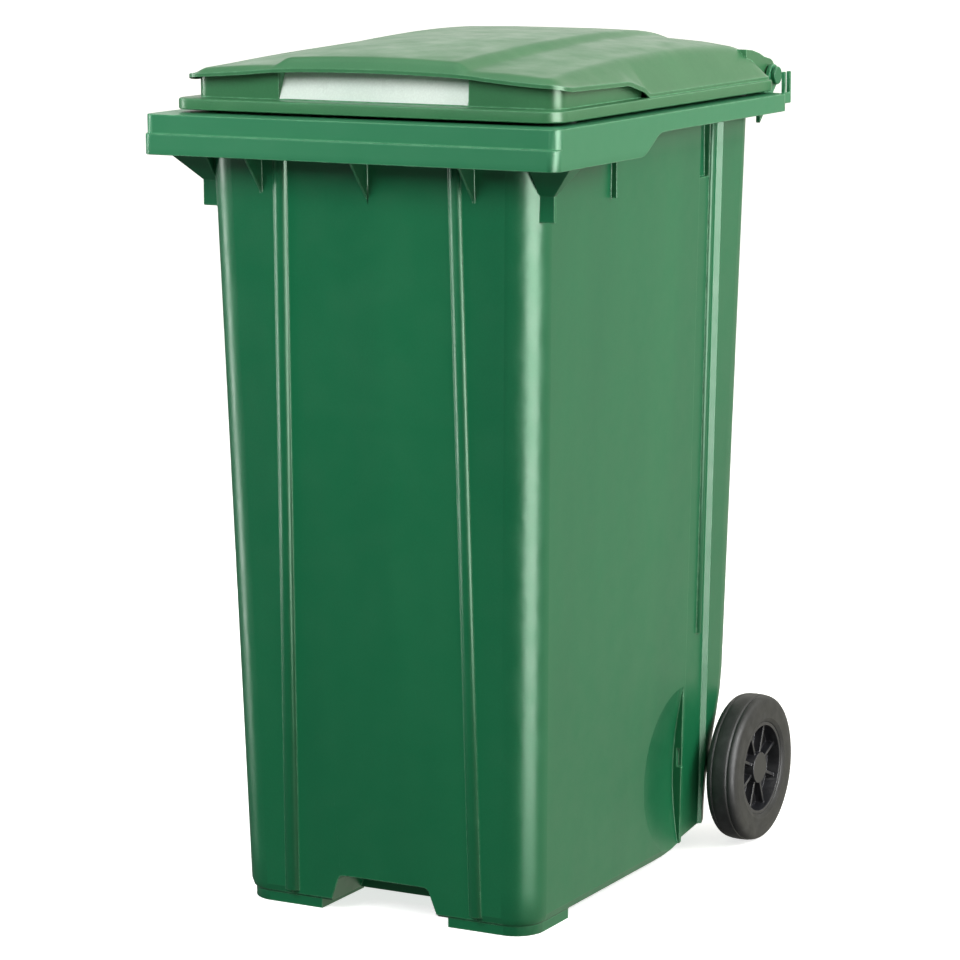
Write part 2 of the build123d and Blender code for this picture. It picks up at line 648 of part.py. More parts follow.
def tyre(side):
    """A solid rubber tyre with rounded shoulders and two tread grooves."""
    half, outer = WHEEL_WIDTH / 2, WHEEL_DIAMETER / 2
    groove = half / 2
    right = [(groove - TREAD_GROOVE * 0.75, outer - 0.4), (groove - TREAD_GROOVE / 2, outer - TREAD_GROOVE),
             (groove + TREAD_GROOVE / 2, outer - TREAD_GROOVE), (groove + TREAD_GROOVE * 0.75, outer - 0.9)]
    shoulder = [(half - TREAD_CROWN - 6 + TYRE_SHOULDER * sin(radians(a)),
                 outer - 1.5 - TYRE_SHOULDER + TYRE_SHOULDER * cos(radians(a))) for a in (15, 35, 55, 75)]
    wall = [(half, outer - TYRE_SHOULDER * 2), (half, RIM_DISC_RADIUS + TYRE_BEAD * 2),
            (half - 2, RIM_DISC_RADIUS + 1), (half - TYRE_BEAD, RIM_DISC_RADIUS)]
    profile = right + shoulder + wall
    points = [(WHEEL_X * side + u, r) for u, r in [(-u, r) for u, r in reversed(profile)] + [(0, outer)] + profile]
    return turned(points, AXLE_Y, AXLE_Z)


def lock_rod(side, radius, low, high):
    """A cylinder on the lock pin's axis, from one distance above the axle's centre to another."""
    return Pos(side * LOCK_X, AXLE_Y, AXLE_Z + (low + high) / 2) * Cylinder(radius, high - low)


def wheel_hub(side):
    """The moulded hub: tyre seat, dished web with ribs, central boss and the lock's housing."""
    half = WHEEL_WIDTH / 2 - TYRE_BEAD
    rim_x = [side * (WHEEL_X - half), side * (WHEEL_X + half)]
    body = rod(RIM_DISC_RADIUS, *rim_x, AXLE_Y, AXLE_Z) - rod(DISH_RADIUS, *rim_x, AXLE_Y, AXLE_Z)
    web = [(WHEEL_X - 4, 0), (WHEEL_X - 4, RIM_DISC_RADIUS - 2), (WHEEL_X, RIM_DISC_RADIUS - 2), (WHEEL_X + 2, 0)]
    body += turned([(side * x, r) for x, r in web], AXLE_Y, AXLE_Z)
    body += rod(BOSS_RADIUS, side * HUB_IN, side * HUB_OUT, AXLE_Y, AXLE_Z)
    for index in range(SPOKES):
        half, foot, end = SPOKE_WIDTH / 2, AXLE_Z + AXLE_R, AXLE_Z + DISH_RADIUS + 2
        spoke = side_prism([(AXLE_Y - half, foot), (AXLE_Y + half, foot), (AXLE_Y + half, end), (AXLE_Y - half, end)],
                           SPOKE_DEPTH)
        spoke = Pos(side * (WHEEL_X + SPOKE_DEPTH), 0, 0) * spoke
        body += spoke.rotate(Axis((0, AXLE_Y, AXLE_Z), (1, 0, 0)), 360 / SPOKES * (index + 0.5))
    body += lock_rod(side, LOCK_POCKET_DIAMETER / 2 + LID_WALL - 0.5, AXLE_R, DISH_RADIUS + 2)
    body -= rod(AXLE_R + RUNNING_GAP, side * (HUB_IN - 1), side * (HUB_OUT - LID_WALL), AXLE_Y, AXLE_Z)
    body -= lock_rod(side, LOCK_PIN_DIAMETER / 2 + RUNNING_GAP, 0, LOCK_TOP)
    body -= lock_rod(side, LOCK_POCKET_DIAMETER / 2, LOCK_SEAT, LOCK_TOP)
    window = LOCK_PIN_DIAMETER / 2 - 1
    return body - block(side * HUB_IN - side, side * LOCK_X, AXLE_Y - window, AXLE_Y + window,
                        AXLE_Z + BOSS_RADIUS + 2, AXLE_Z + LOCK_TOP - LID_WALL)


def lock_pin(side):
    """The sprung pin whose tip sits in the axle's groove."""
    tip = AXLE_R - GROOVE_DEPTH + FACE_GAP
    collar = LOCK_SEAT + FACE_GAP
    top = collar + LOCK_COLLAR_LENGTH
    stem = LOCK_TOP - LOCK_TRAVEL - LOCK_STEM_CLEARANCE
    body = lock_rod(side, LOCK_PIN_DIAMETER / 2, tip, collar)
    body += lock_rod(side, LOCK_COLLAR_DIAMETER / 2, collar, top)
    return body + lock_rod(side, LOCK_PIN_DIAMETER / 2 - 0.8, top, stem)


def lock_spring(side):
    low = LOCK_SEAT + FACE_GAP + LOCK_COLLAR_LENGTH + SPRING_WIRE * 0.8
    high = LOCK_TOP - SPRING_WIRE * 0.8
    path = Helix((high - low) / SPRING_TURNS, high - low, LOCK_POCKET_DIAMETER / 2 - SPRING_WIRE * 1.5)
    coil = sweep(Plane(path @ 0, z_dir=path % 0) * Circle(SPRING_WIRE / 2), path, is_frenet=True)
    return Pos(side * LOCK_X, AXLE_Y, AXLE_Z + low) * coil


def nodes():
    made = {"tub": tub(), "lid": lid(), "axle": axle()}
    for side, word in zip(SIDES, ("left", "right")):
        for maker in (hinge_pin, axle_spacer, tyre, wheel_hub, lock_pin, lock_spring):
            made[f"{maker.__name__}_{word}"] = maker(side)
    for name, x, y in buffer_places():
        made[name] = lid_buffer(x, y)
    return made


os.makedirs("parts", exist_ok=True)
for name, shape in nodes().items():
    export_step(shape, f"parts/{name}.step")
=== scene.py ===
"""A two-wheeled litter bin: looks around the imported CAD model."""

import json
import math

import bmesh
import bpy
import numpy as np
from mathutils import Matrix, Vector

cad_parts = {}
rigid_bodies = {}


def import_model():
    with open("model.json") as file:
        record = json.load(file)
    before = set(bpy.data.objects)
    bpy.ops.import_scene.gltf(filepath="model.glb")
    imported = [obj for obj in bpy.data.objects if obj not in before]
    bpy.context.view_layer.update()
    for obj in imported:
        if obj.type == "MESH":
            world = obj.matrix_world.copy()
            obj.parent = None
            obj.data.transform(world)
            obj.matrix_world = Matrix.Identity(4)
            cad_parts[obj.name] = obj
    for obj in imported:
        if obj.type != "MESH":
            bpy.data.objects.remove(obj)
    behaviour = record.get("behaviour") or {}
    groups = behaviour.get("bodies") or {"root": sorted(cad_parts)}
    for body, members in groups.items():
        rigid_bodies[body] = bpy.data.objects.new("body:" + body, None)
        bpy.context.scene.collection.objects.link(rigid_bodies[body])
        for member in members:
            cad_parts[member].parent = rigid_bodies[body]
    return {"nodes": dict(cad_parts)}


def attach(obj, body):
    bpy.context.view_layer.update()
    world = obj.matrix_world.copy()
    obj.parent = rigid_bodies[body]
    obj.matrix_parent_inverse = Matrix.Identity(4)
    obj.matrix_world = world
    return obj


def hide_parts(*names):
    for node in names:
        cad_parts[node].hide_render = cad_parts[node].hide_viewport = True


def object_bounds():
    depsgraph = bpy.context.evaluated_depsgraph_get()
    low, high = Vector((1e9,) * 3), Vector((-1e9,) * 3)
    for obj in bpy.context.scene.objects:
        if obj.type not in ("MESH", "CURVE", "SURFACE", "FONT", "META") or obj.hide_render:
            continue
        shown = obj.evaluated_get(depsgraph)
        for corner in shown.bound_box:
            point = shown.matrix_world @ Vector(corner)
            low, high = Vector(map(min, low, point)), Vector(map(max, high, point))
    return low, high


for leftover in list(bpy.data.objects):
    bpy.data.objects.remove(leftover)
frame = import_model()
cad_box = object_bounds()
NODES = frame["nodes"]
MM = 0.001

# Places in millimetres: x from the middle, y back from the comb's front face, z up from the ground
COMB_FACE = cad_box[0].y / MM
RIM = 1016.0


def place(x, y, z):
    """A point given in the bin's own millimetres, in the frame's metres."""
    return Vector((x * MM, (y + COMB_FACE) * MM, z * MM))


# ---- materials ----

class Maker:
    """A material under construction, with short calls for its nodes."""

    def __init__(self, name):
        self.mat = bpy.data.materials.new(name)
        self.mat.use_nodes = True
        self.tree = self.mat.node_tree
        self.shader = self.tree.nodes["Principled BSDF"]
        self.coords = self.add("ShaderNodeTexCoord").outputs["Object"]

    def add(self, kind, **settings):
        node = self.tree.nodes.new(kind)
        for key, value in settings.items():
            setattr(node, key, value)
        return node

    def link(self, start, end):
        self.tree.links.new(start, end)

    def stretched(self, scale):
        node = self.add("ShaderNodeMapping")
        node.inputs["Scale"].default_value = scale
        self.link(self.coords, node.inputs["Vector"])
        return node.outputs["Vector"]

    def noise(self, scale, detail=3.0, rough=0.5, vector=None):
        node = self.add("ShaderNodeTexNoise")
        node.inputs["Scale"].default_value = scale
        node.inputs["Detail"].default_value = detail
        node.inputs["Roughness"].default_value = rough
        self.link(vector or self.coords, node.inputs["Vector"])
        return node.outputs["Fac"]

    def ramp(self, value, *stops):
        node = self.add("ShaderNodeValToRGB")
        bar = node.color_ramp
        while len(bar.elements) < len(stops):
            bar.elements.new(0.5)
        for element, (position, colour) in zip(bar.elements, stops):
            element.position = position
            element.color = (*colour, 1.0) if len(colour) == 3 else colour
        self.link(value, node.inputs["Fac"])
        return node.outputs["Color"]

    def scaled(self, value, low, high, start=0.3, end=0.7):
        node = self.add("ShaderNodeMapRange")
        node.inputs["From Min"].default_value = start
        node.inputs["From Max"].default_value = end
        node.inputs["To Min"].default_value = low
        node.inputs["To Max"].default_value = high
        self.link(value, node.inputs["Value"])
        return node.outputs["Result"]

    def mix(self, fac, a, b, mode="MIX"):
        node = self.add("ShaderNodeMix", data_type="RGBA", blend_type=mode)
        for socket, value in zip((node.inputs[0], node.inputs[6], node.inputs[7]), (fac, a, b)):
            if isinstance(value, (int, float)):
                socket.default_value = value
            elif isinstance(value, tuple):
                socket.default_value = (*value, 1.0)
            else:
                self.link(value, socket)
        return node.outputs[2]

    def edges(self, radius, low, high):
        """How near a surface point is to a sharp outer edge, from 0 to 1."""
        soft = self.add("ShaderNodeBevel", samples=4)
        soft.inputs["Radius"].default_value = radius
        plain = self.add("ShaderNodeNewGeometry").outputs["Normal"]
        dot = self.add("ShaderNodeVectorMath", operation="DOT_PRODUCT")
        self.link(soft.outputs["Normal"], dot.inputs[0])
        self.link(plain, dot.inputs[1])
        node = self.add("ShaderNodeMapRange")
        node.inputs["From Min"].default_value = high
        node.inputs["From Max"].default_value = low
        self.link(dot.outputs["Value"], node.inputs["Value"])
        return node.outputs["Result"]

    def bump(self, *layers):
        """Bump from (value, strength, distance) layers, chained."""
        normal = None
        for value, strength, distance in layers:
            node = self.add("ShaderNodeBump")
            node.inputs["Strength"].default_value = strength
            node.inputs["Distance"].default_value = distance
            self.link(value, node.inputs["Height"])
            if normal:
                self.link(normal, node.inputs["Normal"])
            normal = node.outputs["Normal"]
        self.link(normal, self.shader.inputs["Normal"])


def bin_plastic(name, deep, bright, edge_wear_and_highlight, rough, sheen=(1.0, 1.0, 1.0), rim=None):
    """Injection-moulded polyethylene: soft flow variation, fine grain, and paler sharp edges, partly wear and partly
    a painted edge highlight.

    rim is a paler green painted on the band round the mouth of the tub, a painted highlight for the light falling on
    it from above."""
    m = Maker(name)
    flow = m.noise(9.0, 2.0, vector=m.stretched((1.0, 1.0, 0.12)))
    cloud = m.noise(2.6, 3.0)
    base = m.mix(m.scaled(flow, 0.15, 0.85), deep, bright)
    base = m.mix(m.scaled(cloud, 0.0, 0.35), base, bright)
    speck = m.ramp(m.noise(420.0, 2.0), (0.45, (0.92, 0.92, 0.92)), (0.6, (1.0, 1.0, 1.0)))
    base = m.mix(0.6, base, speck, "MULTIPLY")
    # Painted highlight: the band round the tub's mouth is painted a paler green, standing in for the light falling
    # on it from above.
    if rim:
        height = m.add("ShaderNodeSeparateXYZ")
        m.link(m.coords, height.inputs[0])
        base = m.mix(m.scaled(height.outputs["Z"], 0.0, 1.0, RIM_PAINTED_LIGHT_FOOT, RIM_PAINTED_LIGHT_FOOT + 0.02), base, rim)
    # Painted edge highlight, partly real wear: sharp outer edges are painted paler, broken up by noise.
    edge_wear_and_highlight_mask = m.edges(0.0025, 0.90, 0.995)
    broken = m.ramp(m.noise(70.0, 4.0, 0.7), (0.35, (0.25, 0.25, 0.25)), (0.65, (1.0, 1.0, 1.0)))
    share = m.mix(1.0, edge_wear_and_highlight_mask, broken, "MULTIPLY")
    m.link(m.mix(share, base, edge_wear_and_highlight), m.shader.inputs["Base Color"])
    m.link(m.scaled(m.noise(24.0, 4.0, 0.6), rough - 0.05, rough + 0.06), m.shader.inputs["Roughness"])
    m.bump((m.noise(3.2, 1.0), 0.35, 0.004), (m.noise(30.0, 2.0), 0.12, 0.0008),
           (m.noise(900.0, 2.0), 0.10, 0.0002))
    m.shader.inputs["Specular IOR Level"].default_value = 0.42
    m.shader.inputs["Specular Tint"].default_value = (*sheen, 1.0)
    return m.mat


def rubber(name, dark, dusty, rough):
    m = Maker(name)
    dust = m.ramp(m.noise(55.0, 5.0, 0.65), (0.42, dark), (0.72, dusty))
    # Painted edge highlight, partly dust: the rubber's sharp edges are painted paler than its dust colour.
    m.link(m.mix(m.edges(0.0015, 0.92, 0.995), dust, tuple(v * 1.7 for v in dusty)), m.shader.inputs["Base Color"])
    m.link(m.scaled(m.noise(40.0, 3.0), rough - 0.08, rough + 0.08), m.shader.inputs["Roughness"])
    m.bump((m.noise(160.0, 4.0, 0.6), 0.25, 0.0004), (m.noise(1300.0, 2.0), 0.25, 0.0002))
    return m.mat


def metal(name, tint, dull, rough):
    m = Maker(name)
    brushed = m.noise(60.0, 4.0, 0.7, m.stretched((0.2, 8.0, 8.0)))
    m.link(m.mix(m.scaled(brushed, 0.0, 1.0), tint, dull), m.shader.inputs["Base Color"])
    m.link(m.scaled(m.noise(90.0, 3.0), rough - 0.08, rough + 0.1), m.shader.inputs["Roughness"])
    m.shader.inputs["Metallic"].default_value = 1.0
    m.bump((brushed, 0.15, 0.0002))
    return m.mat


# The third green is the paler colour of sharp edges: partly wear, partly a painted edge highlight.
GREEN_DEEP, GREEN_BRIGHT, GREEN_EDGE_WEAR_AND_HIGHLIGHT = (0.004, 0.130, 0.052), (0.008, 0.170, 0.066), (0.16, 0.42, 0.24)
GREEN_SHEEN = (0.95, 1.0, 0.92)
# Height in metres where the painted highlight on the tub's rim band begins; the last colour of TUB_GREEN is that
# painted highlight.
RIM_PAINTED_LIGHT_FOOT = 0.955
TUB_GREEN = bin_plastic("tub_green", GREEN_DEEP, GREEN_BRIGHT, GREEN_EDGE_WEAR_AND_HIGHLIGHT, 0.34, GREEN_SHEEN, (0.034, 0.215, 0.100))
LID_GREEN = bin_plastic("lid_green", (0.034, 0.158, 0.066), (0.050, 0.196, 0.084), GREEN_EDGE_WEAR_AND_HIGHLIGHT, 0.34, GREEN_SHEEN)
# The leaning pocket faces in the lid's wall are coloured near-white.
LID_PALE = bin_plastic("lid_pocket_pale", (0.62, 0.74, 0.67), (0.80, 0.88, 0.83), (0.88, 0.92, 0.90), 0.30)
MATERIALS = {
    "tub": TUB_GREEN, "lid": LID_GREEN,
    "tyre": rubber("tyre_black", (0.012, 0.013, 0.014), (0.030, 0.031, 0.033), 0.52),
    "wheel_hub": bin_plastic("hub_black", (0.012, 0.013, 0.017), (0.020, 0.021, 0.026), (0.10, 0.10, 0.12), 0.33),
    "axle_spacer": bin_plastic("spacer_black", (0.010, 0.010, 0.012), (0.018, 0.018, 0.02), (0.08, 0.08, 0.09), 0.4),
    "hinge_pin": bin_plastic("pin_green", GREEN_DEEP, GREEN_BRIGHT, GREEN_EDGE_WEAR_AND_HIGHLIGHT, 0.34, GREEN_SHEEN),
    "lid_buffer": rubber("buffer_black", (0.012, 0.012, 0.012), (0.03, 0.03, 0.03), 0.6),
    "axle": metal("axle_steel", (0.42, 0.43, 0.45), (0.25, 0.25, 0.26), 0.34),
    "lock_pin": metal("lock_steel", (0.50, 0.50, 0.50), (0.32, 0.32, 0.33), 0.3),
    "lock_spring": metal("spring_steel", (0.36, 0.36, 0.38), (0.2, 0.2, 0.2), 0.38),
}


def finish_for(node):
    """The material of a CAD node: the one whose key is the longest start of its name."""
    return next(mat for key, mat in sorted(MATERIALS.items(), key=lambda item: -len(item[0]))
                if node.startswith(key))


# ---- CAD nodes: materials and rounded edges ----

# Widths of the rounded edges in metres, by the start of the node's name
EDGE_ROUND = {"tub": 0.0014, "tyre": 0.0010, "wheel_hub": 0.0009, "hinge_pin": 0.0008}
EDGE_ROUND_OTHERS = 0.0004
SHARP_FROM = 0.5
SAME_POINT = 2e-6

for node, thing in NODES.items():
    thing.data.materials.clear()
    thing.data.materials.append(finish_for(node))
    weld = thing.modifiers.new("weld", "WELD")
    weld.merge_threshold = SAME_POINT
    bevel = thing.modifiers.new("round", "BEVEL")
    bevel.width = next((w for key, w in EDGE_ROUND.items() if node.startswith(key)), EDGE_ROUND_OTHERS)
    bevel.segments = 2
    bevel.limit_method = "ANGLE"
    bevel.angle_limit = SHARP_FROM
    bevel.offset_type = "WIDTH"
    bevel.use_clamp_overlap = False
    bevel.harden_normals = True


# ---- building meshes ----

def curve(points, where):
    """A smooth line through (place, value) points, level past its ends."""
    places, values = zip(*points)
    if where <= places[0]:
        return values[0]
    if where >= places[-1]:
        return values[-1]
    last = len(points) - 1
    i = next(k for k in range(last) if where <= places[k + 1])
    slopes = [(values[min(k + 1, last)] - values[max(k - 1, 0)]) / (places[min(k + 1, last)] - places[max(k - 1, 0)])
              for k in (i, i + 1)]
    span = places[i + 1] - places[i]
    t = (where - places[i]) / span
    return ((1 + 2 * t) * (1 - t) ** 2 * values[i] + t * (1 - t) ** 2 * span * slopes[0]
            + t * t * (3 - 2 * t) * values[i + 1] + t * t * (t - 1) * span * slopes[1])


def straight(points, where):
    """Straight lines through (place, value) points, level past their ends."""
    places, values = zip(*points)
    return float(np.interp(where, places, values))


def shown(name, verts, faces, mats, body, tints=None, sharp=35.0):
    """An object from millimetre points, smooth shaded but for its sharp edges."""
    mesh = bpy.data.meshes.new(name)
    mesh.from_pydata([place(*v) for v in verts], [], faces)
    for mat in mats:
        mesh.materials.append(mat)
    if tints:
        mesh.polygons.foreach_set("material_index", tints)
    tidy = bmesh.new()
    tidy.from_mesh(mesh)
    bmesh.ops.recalc_face_normals(tidy, faces=tidy.faces)
    tidy.to_mesh(mesh)
    tidy.free()
    mesh.shade_smooth()
    mesh.set_sharp_from_angle(angle=math.radians(sharp))
    thing = bpy.data.objects.new(name, mesh)
    bpy.context.scene.collection.objects.link(thing)
    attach(thing, body)
    return thing


def rounded(thing, width, segments=3, angle=38.0):
    """Round a piece's sharp edges to a width in millimetres."""
    bevel = thing.modifiers.new("round", "BEVEL")
    bevel.width, bevel.segments = width * MM, segments
    bevel.limit_method, bevel.angle_limit = "ANGLE", math.radians(angle)
    bevel.use_clamp_overlap = True
    bevel.harden_normals = True


class Shape:
    """Points and faces gathered from several closed parts."""

    def __init__(self):
        self.verts, self.faces, self.tints = [], [], []

    def grid(self, rows, tint=0, wrap=False):
        """Quads between rows of equal length; gives the index of each point."""
        start, width = len(self.verts), len(rows[0])
        self.verts += [p for row in rows for p in row]
        for i in range(len(rows) - 1):
            for j in range(width if wrap else width - 1):
                a, b = start + i * width + j, start + i * width + (j + 1) % width
                self.faces.append((a, b, b + width, a + width))
                self.tints.append(tint)
        return [[start + i * width + j for j in range(width)] for i in range(len(rows))]

    def strip(self, first, second, tint=0, closed=False):
        """Quads between two lists of point indices."""
        count = len(first)
        for j in range(count if closed else count - 1):
            k = (j + 1) % count
            self.faces.append((first[j], first[k], second[k], second[j]))
            self.tints.append(tint)

    def tube(self, profiles, tint=0):
        """A closed ring: every profile is a closed loop, and the last joins the first."""
        count = len(profiles)
        index = self.grid(profiles, tint, wrap=True)
        self.strip(index[count - 1], index[0], tint, closed=True)

    def prism(self, outline, x0, x1, tint=0):
        """A (y, z) outline extruded across x."""
        start, count = len(self.verts), len(outline)
        self.verts += [(x0, y, z) for y, z in outline] + [(x1, y, z) for y, z in outline]
        self.faces += [tuple(range(start, start + count)), tuple(range(start + count, start + 2 * count))]
        for j in range(count):
            k = (j + 1) % count
            self.faces.append((start + j, start + k, start + count + k, start + count + j))
        self.tints += [tint] * (count + 2)


CORNER_STEPS = 9


def corner_loop(half, front, rear, radius):
    """Points and outward directions round a rectangle with round corners."""
    loop = []
    for cx, cy, start in ((half - radius, front + radius, -90), (half - radius, rear - radius, 0),
                          (-half + radius, rear - radius, 90), (-half + radius, front + radius, 180)):
        for k in range(CORNER_STEPS):
            a = math.radians(start + 90 * k / (CORNER_STEPS - 1))
            loop.append((cx + radius * math.cos(a), cy + radius * math.sin(a), math.cos(a), math.sin(a)))
    return loop


# ---- lid ----

# Rises above the rim along lengthwise lines of the lid, as (distance back, rise). CREASE_X gives how far out
# the crease is, and LIP_LOW the lip's lower edge by distance from the middle.
CROWN = ((57, 72.5), (120, 78.5), (200, 83), (300, 87), (400, 89), (500, 88.5), (580, 84.5), (640, 75), (676, 60))
PANEL = ((57, 69.5), (120, 75), (200, 79.5), (300, 84), (400, 87), (500, 87), (580, 83), (640, 73), (676, 58))
FOOT = ((57, 60), (120, 65), (200, 70), (300, 75.5), (400, 79), (500, 79.5), (580, 76), (640, 67), (676, 54))
CREASE = ((57, 49), (120, 52), (200, 56.5), (300, 60.5), (400, 62.5), (500, 63), (580, 61), (640, 56.5), (676, 48))
CREASE_X = ((57, 255), (120, 249), (200, 243), (300, 237), (420, 232), (676, 230))
SIDE_TOP = ((57, 47.5), (84, 43.5), (241, 40.5), (284, 29.5), (299, 21), (676, 21))
SIDE_LOW = ((57, 44), (70, 41), (84, 38.5), (241, 36), (284, 25), (299, 17), (676, 17))
LIP_LOW = ((0, 55), (60, 54.5), (127, 52.5), (180, 48.5), (231, 45.5), (267, 44))
# The lip's face leans back over LIP_RUN, from LIP_EDGE above its lower edge up to the crown
LIP_RUN, LIP_EDGE = 16.0, 4.5
LID_FRONT, LID_REAR, LID_HALF, LID_CORNER, LID_SKIN = 57.0, 676.0, 267.0, 26.0, 3.0
PANEL_X, FOOT_X, CREASE_BAND, CREASE_STEP = 120.0, 137.0, 9.0, 5.0
BAND_HALF, BAND_FRONT, BAND_LOW, BAND_TOP = 272.0, 40.0, 4.0, 18.0
# Inside edge of the flange: half width, front, rear and corner radius
BAND_INSIDE = (250.0, 82.0, 658.0, 8.0)
WALL_HALF, WALL_FRONT, WALL_END, WALL_CORNER = 256.0, 72.0, 296.0, 18.0
POCKET_HALF, POCKET_LEAN = 134.0, 20.0
LID_ROUND = 1.6
UNMOVED_HALF = 150.0
HINGE_Y, HINGE_Z, KNUCKLE_R, KNUCKLE_X, KNUCKLE_HALF = 712.0, 1036.0, 22.5, 227.0, 14.5


def lid_rise(x, y):
    """Height of the lid's top above the rim, with its creases softened."""
    crease = straight(CREASE_X, y)
    low = curve(CREASE, y)
    line = ((0, curve(CROWN, y)), (60, curve(CROWN, y) * 0.72 + curve(PANEL, y) * 0.28 + 0.2),
            (PANEL_X, curve(PANEL, y)), (FOOT_X, curve(FOOT, y)),
            (190, curve(FOOT, y) * 0.42 + (low + CREASE_STEP) * 0.58 + 1.6),
            (crease - CREASE_BAND, low + CREASE_STEP), (crease, low), (LID_HALF, straight(SIDE_TOP, y)))
    spread = (-4, -2, 0, 2, 4)
    top = sum(straight(line, min(abs(x) + s, LID_HALF)) for s in spread) / len(spread)
    if y >= LID_FRONT + LIP_RUN:
        return top
    foot = curve(LIP_LOW, abs(x)) + LIP_EDGE
    return foot + (top - foot) * math.sin(math.pi / 2 * (y - LID_FRONT) / LIP_RUN)


def lid_half(y):
    """Half the lid's width at a distance back, with its round corners."""
    short = max(LID_FRONT + LID_CORNER - y, y - (LID_REAR - LID_CORNER), 0)
    return LID_HALF - LID_CORNER + math.sqrt(LID_CORNER ** 2 - min(short, LID_CORNER) ** 2)


def lid_rows():
    """Distances back of the lid's rows of points, closer together where it bends."""
    front = [57, 58.5, 60.5, 63, 66, 70, 75, 81, 88]
    middle = [96 + 10 * k for k in range(19)] + [282, 286, 290, 294, 298, 302]
    rear = [312 + 12 * k for k in range(27)] + [634, 644, 652, 659, 665, 669.5, 673, 675, 676]
    return front + middle + [y for y in rear if y > 302]


def lid_columns():
    """Places across the lid of its columns of points, from left to right."""
    knots = ((0, 112, 12), (112, 128, 5), (128, 132, 1), (132, 145, 4), (145, 218, 8), (218, 250, 10), (250, 267, 6))
    half = [a + (b - a) * k / n for a, b, n in knots for k in range(n)] + [LID_HALF]
    return [-x for x in reversed(half[1:])] + half


def lid_skin(shape):
    """The lid's top: an outer and an inner sheet, joined by a skirt down to the lip's or side's lower edge."""
    rows, columns = lid_rows(), lid_columns()

    def sheet(inset, drop):
        made = []
        for y in rows:
            wide = lid_half(y)
            line = []
            for x in columns:
                out = abs(x)
                if out > UNMOVED_HALF:
                    out = UNMOVED_HALF + (out - UNMOVED_HALF) * (wide - UNMOVED_HALF) / (LID_HALF - UNMOVED_HALF)
                share = 1 - inset / LID_HALF
                mid = (LID_FRONT + LID_REAR) / 2
                deep = mid + (y - mid) * (1 - inset / (LID_REAR - mid))
                line.append((math.copysign(out, x) * share, deep, RIM + lid_rise(x, y) - drop))
            made.append(line)
        return made

    def low_edge(x, y):
        if y <= rows[0]:
            return RIM + curve(LIP_LOW, abs(x))
        return RIM + (straight(SIDE_LOW, y) if y < rows[-1] else BAND_TOP - 1)

    outer, inner = shape.grid(sheet(0, 0)), shape.grid(sheet(LID_SKIN, LID_SKIN))
    last, end = len(rows) - 1, len(columns) - 1
    ring = ([(0, j) for j in range(end)] + [(i, end) for i in range(last)]
            + [(last, j) for j in range(end, 0, -1)] + [(i, 0) for i in range(last, 0, -1)])
    loops = []
    for index in (outer, inner):
        start = len(shape.verts)
        for i, j in ring:
            x, y, _ = shape.verts[index[i][j]]
            low = low_edge(columns[j], rows[i])
            if i == 0 and abs(columns[j]) >= LID_HALF:
                low = RIM + SIDE_LOW[0][1]
            shape.verts.append((x, y, low))
        loops.append(list(range(start, start + len(ring))))
    shape.strip([outer[i][j] for i, j in ring], loops[0], closed=True)
    shape.strip(loops[0], loops[1], closed=True)
    shape.strip(loops[1], [inner[i][j] for i, j in ring], closed=True)


def lid_band(shape):
    """The flange that stands on the rim, as one closed ring."""
    outer = corner_loop(BAND_HALF, BAND_FRONT, LID_REAR, LID_CORNER)
    inner = corner_loop(*BAND_INSIDE)
    steps = ((1.2, BAND_LOW), (0, BAND_LOW + 1.2), (0, BAND_TOP - 2.5), (0.7, BAND_TOP - 0.7), (2.5, BAND_TOP))
    profiles = []
    for (x, y, nx, ny), (ix, iy, _, _) in zip(outer, inner):
        side = [(x - nx * d, y - ny * d, RIM + z) for d, z in steps]
        side += [(ix, iy, RIM + BAND_TOP), (ix, iy, RIM + BAND_TOP - LID_SKIN)]
        behind = (x - nx * LID_SKIN, y - ny * LID_SKIN)
        side += [(*behind, RIM + BAND_TOP - LID_SKIN), (*behind, RIM + BAND_LOW)]
        profiles.append(side)
    shape.tube(profiles)


def lid_wall(shape):
    """The upright wall behind the finger recess, with the leaning pocket in its middle."""
    path = [(WALL_HALF, y, 1, 0) for y in np.linspace(WALL_END, WALL_FRONT + WALL_CORNER + 6, 20)]
    path += list(reversed(corner_loop(WALL_HALF, WALL_FRONT, LID_REAR, WALL_CORNER)[:CORNER_STEPS]))
    path += [(x, WALL_FRONT, 0, -1) for x in np.linspace(WALL_HALF - WALL_CORNER - 6, POCKET_HALF, 10)]
    pocket = [(x, WALL_FRONT, 0, -1) for x in np.linspace(POCKET_HALF - 1.5, -POCKET_HALF + 1.5, 40)]
    path += pocket + [(-x, y, -nx, ny) for x, y, nx, ny in reversed(path)]
    loops = []
    for x, y, nx, ny in path:
        lean = POCKET_LEAN if abs(x) < POCKET_HALF - 1 and ny < 0 else 0
        low, mid = RIM + BAND_TOP - 2, RIM + BAND_TOP + 1.5
        top = RIM + lid_rise(min(abs(x), LID_HALF), y + lean) - 1.5
        back_x, back_y = x - nx * LID_SKIN, y - ny * LID_SKIN
        loops.append([(x, y, low), (x, y, mid), (x, y + lean, top), (back_x, back_y + lean, top),
                      (back_x, back_y, mid), (back_x, back_y, low)])
    start = len(shape.faces)
    index = shape.grid(loops, wrap=True)
    shape.faces += [tuple(index[0]), tuple(reversed(index[-1]))]
    shape.tints += [0, 0]
    for k in range(start, len(shape.faces)):
        points = [shape.verts[v] for v in shape.faces[k]]
        in_pocket = max(abs(p[0]) for p in points) < POCKET_HALF - 1
        leans = min(p[1] for p in points) >= WALL_FRONT and max(p[1] for p in points) > WALL_FRONT + POCKET_LEAN - 1
        if in_pocket and leans and min(p[2] for p in points) > RIM + BAND_TOP + 1:
            shape.tints[k] = 1


